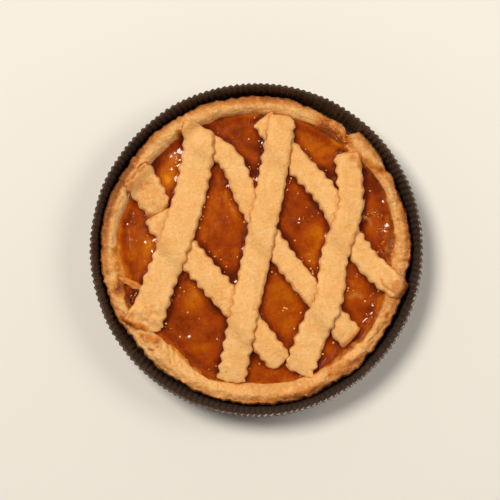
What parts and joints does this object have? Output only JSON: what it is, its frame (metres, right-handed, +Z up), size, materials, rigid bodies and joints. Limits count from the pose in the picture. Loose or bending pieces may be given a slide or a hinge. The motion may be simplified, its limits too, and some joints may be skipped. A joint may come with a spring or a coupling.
{
  "type": "lemon crostata",
  "caption": "Round lattice-topped tart with a thick uneven shortcrust rim, wavy-edged dough strips and glossy lemon filling, sitting in a dark fluted paper baking case.",
  "frame": {"origin": "middle of the baking case's flat underside", "axes": "+Z up out of the open top of the case; the tart is turned about Z so that +Y is the top of the picture and +X its right"},
  "size_m": [0.2212, 0.2212, 0.027],
  "materials": {
    "case_paper": "glossy dark brown greaseproof paper, fluted wall",
    "crust": "baked shortcrust, golden, browned outside and on its ridges",
    "strips": "baked shortcrust strips, pale golden, matt and finely cracked",
    "sliver": "thin curl of dough, browned orange and slightly glazed with syrup",
    "filling": "wet glossy lemon filling baked deep amber, with small bubbles"
  },
  "bodies": {
    "root": {"baking_case": "case_paper", "crust": "crust", "lemon_filling": "filling", "strip_under_right": "strips", "strip_under_middle": "strips", "strip_under_left": "strips", "strip_under_left_end": "strips", "strip_over_left": "strips", "strip_over_middle": "strips", "strip_over_right": "strips", "dough_sliver": "sliver"}
  },
  "joints": []
}
